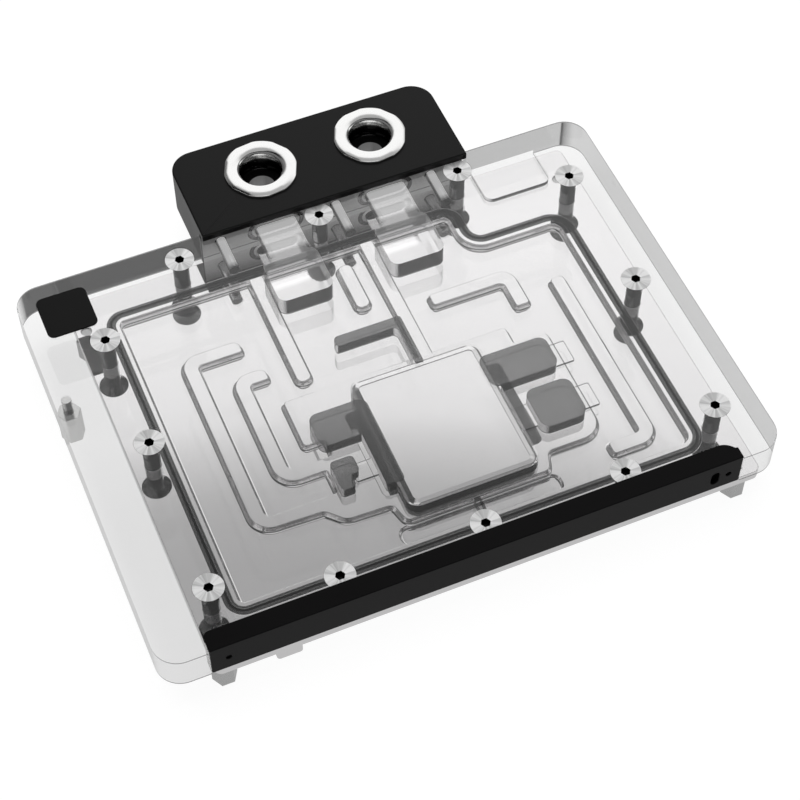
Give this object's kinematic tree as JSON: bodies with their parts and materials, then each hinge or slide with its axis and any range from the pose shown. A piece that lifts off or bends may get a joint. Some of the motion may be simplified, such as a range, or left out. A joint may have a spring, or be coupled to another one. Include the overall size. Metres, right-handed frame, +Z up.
{
  "type": "graphics card water block",
  "caption": "Full-cover water block for a graphics card: clear acrylic flow cover on a plated cold plate, black port terminal and light bar.",
  "frame": {"origin": "under the middle of the whole block's length and depth, in the plane that the standoffs' feet stand on", "axes": "+X along the cover's long side and the light bar, to the right when the bar faces the viewer; +Y from the light bar to the port terminal; +Z up, out of the port mouths"},
  "size_m": [0.1624, 0.146, 0.0228],
  "materials": {
    "clear_acrylic": "clear polished acrylic",
    "nickel_plate": "bright nickel plating on copper",
    "flow_steel": "thin sheet, plain",
    "seal_rubber": "soft black rubber",
    "core_metal": "bright plated metal",
    "black_acetal": "machined black acetal",
    "port_metal": "bright nickel plating on brass",
    "screw_steel": "bright steel",
    "bar_black": "satin black",
    "board_white": "white circuit board",
    "lamp_yellow": "phosphor yellow",
    "diffuser_white": "milky diffuser",
    "socket_black": "black socket",
    "bar_screw_black": "blackened steel",
    "badge_black": "satin black plate, left bare",
    "standoff_metal": "nickel-plated brass"
  },
  "bodies": {
    "root": {"flow_cover": "clear_acrylic", "cold_plate": "nickel_plate", "fin_block": "nickel_plate", "flow_plate": "flow_steel", "core_gasket": "seal_rubber", "core_cover": "core_metal", "main_seal": "seal_rubber", "terminal_block": "black_acetal", "port_insert_left": "port_metal", "port_insert_right": "port_metal", "port_seal_left": "seal_rubber", "port_seal_right": "seal_rubber", "terminal_screws": "screw_steel", "cover_screws": "screw_steel", "light_bar": "bar_black", "lamp_board": "board_white", "lamp_chips": "lamp_yellow", "lamp_diffuser": "diffuser_white", "cable_socket": "socket_black", "bar_screws": "bar_screw_black", "corner_badge": "badge_black", "plate_standoffs": "standoff_metal", "side_standoff": "standoff_metal", "core_standoffs": "standoff_metal"}
  },
  "joints": []
}
